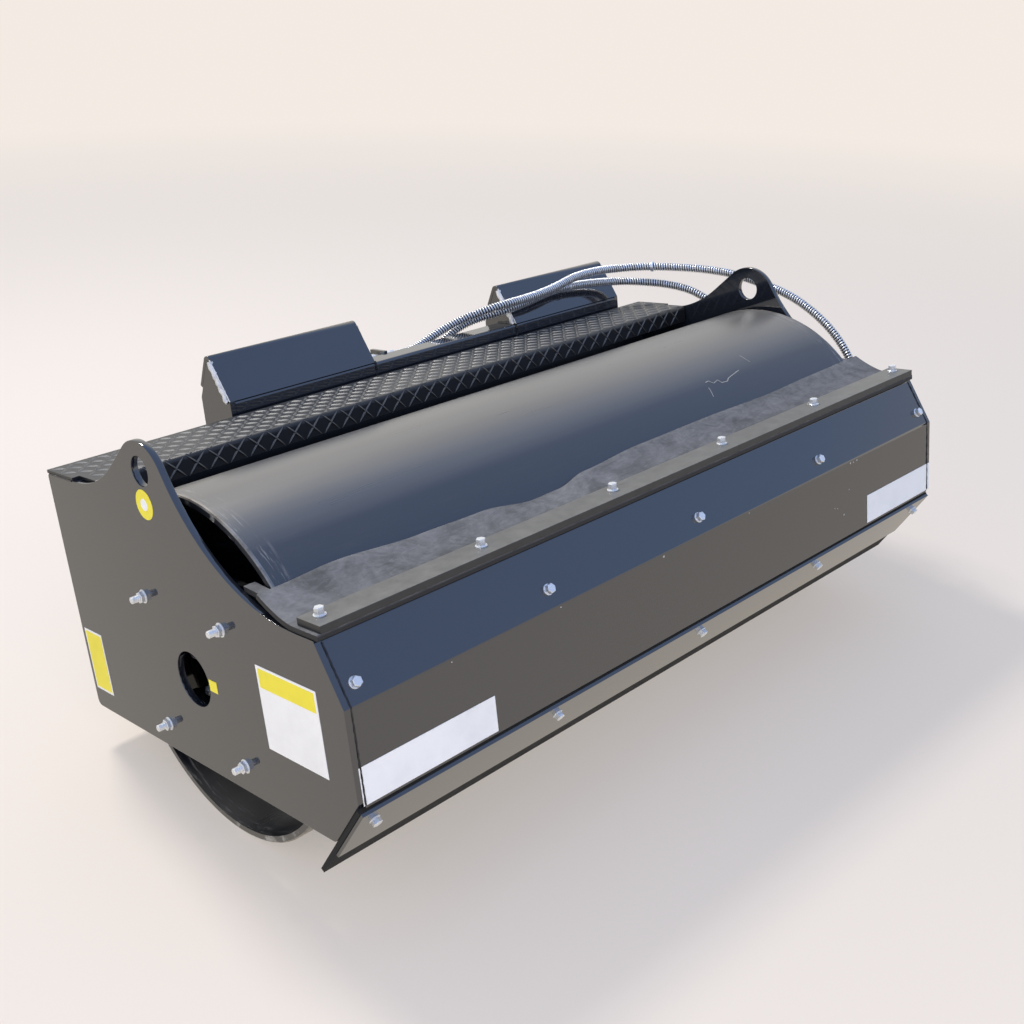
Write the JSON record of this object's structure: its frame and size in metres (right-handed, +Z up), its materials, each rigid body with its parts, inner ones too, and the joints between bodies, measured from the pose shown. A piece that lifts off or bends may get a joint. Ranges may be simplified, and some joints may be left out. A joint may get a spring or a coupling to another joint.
{
  "type": "vibratory roller attachment",
  "caption": "Smooth drum vibratory roller for a skid steer loader, with a tread plate step, rubber scraper, lifting ears and a quick attach hitch set off to one side.",
  "frame": {"origin": "middle of the part's underside as it stands parked, on the drum and the hitch's feet; hoses don't count", "axes": "+X along the drum's axis to the end with the hydraulic motor, +Y to the rear where the loader couples, +Z up; the machine leans back 9.14 degrees as it parks"},
  "size_m": [1.668, 0.9804, 0.6802],
  "materials": {
    "bare_steel": "machined steel, lightly oiled",
    "cast_iron": "black painted cast iron",
    "gloss_paint": "glossy black paint",
    "hose_guard": "zinc plated spring guard over black hose",
    "isolator_rubber": "black bonded rubber",
    "rubber": "matt rubber with pale dust",
    "satin_paint": "satin black paint",
    "tread_paint": "glossy black paint on tread plate",
    "zinc": "bright zinc plate"
  },
  "bodies": {
    "frame": {"carrier_left": "gloss_paint", "carrier_right": "gloss_paint", "coupler_beam_lower": "gloss_paint", "coupler_beam_upper": "gloss_paint", "coupler_face_left": "gloss_paint", "coupler_face_right": "gloss_paint", "coupler_foot_left": "gloss_paint", "coupler_foot_right": "gloss_paint", "coupler_hook_left": "gloss_paint", "coupler_hook_right": "gloss_paint", "coupler_pad_left": "gloss_paint", "coupler_pad_right": "gloss_paint", "coupler_rib_left_inner": "gloss_paint", "coupler_rib_left_outer": "gloss_paint", "coupler_rib_right_inner": "gloss_paint", "coupler_rib_right_outer": "gloss_paint", "coupling_bracket": "gloss_paint", "end_plate_left": "gloss_paint", "end_plate_right": "gloss_paint", "front_beam": "gloss_paint", "front_guard": "gloss_paint", "hose_lower": "hose_guard", "hose_upper": "hose_guard", "hub_cap_left": "bare_steel", "hub_left": "bare_steel", "hub_right": "bare_steel", "hydraulic_coupling_lower": "zinc", "hydraulic_coupling_upper": "zinc", "hydraulic_motor": "cast_iron", "isolator_left_1": "isolator_rubber", "isolator_left_2": "isolator_rubber", "isolator_left_3": "isolator_rubber", "isolator_left_4": "isolator_rubber", "isolator_right_1": "isolator_rubber", "isolator_right_2": "isolator_rubber", "isolator_right_3": "isolator_rubber", "isolator_right_4": "isolator_rubber", "lock_ledge_left": "gloss_paint", "lock_ledge_right": "gloss_paint", "lower_clamp_plate": "gloss_paint", "lower_flap_angle": "gloss_paint", "lower_flap_rubber": "rubber", "rear_beam_lower": "gloss_paint", "rear_beam_upper": "gloss_paint", "rear_panel": "gloss_paint", "tread_deck": "tread_paint", "upper_clamp_bar": "satin_paint", "upper_scraper_rubber": "rubber"},
    "drum": {"bearing_housing_left": "bare_steel", "bearing_housing_right": "bare_steel", "drum_head_left": "gloss_paint", "drum_head_right": "gloss_paint", "drum_shell": "gloss_paint"},
    "exciter": {"exciter_shaft": "bare_steel"}
  },
  "joints": [
    {"name": "drum_spin", "type": "hinge", "parent": "frame", "child": "drum", "pos_m": [-0.034, -0.0664, 0.3], "axis": [1, 0, 0], "continuous": true},
    {"name": "exciter_spin", "type": "hinge", "parent": "frame", "child": "exciter", "pos_m": [-0.034, -0.0664, 0.3], "axis": [1, 0, 0], "continuous": true}
  ]
}
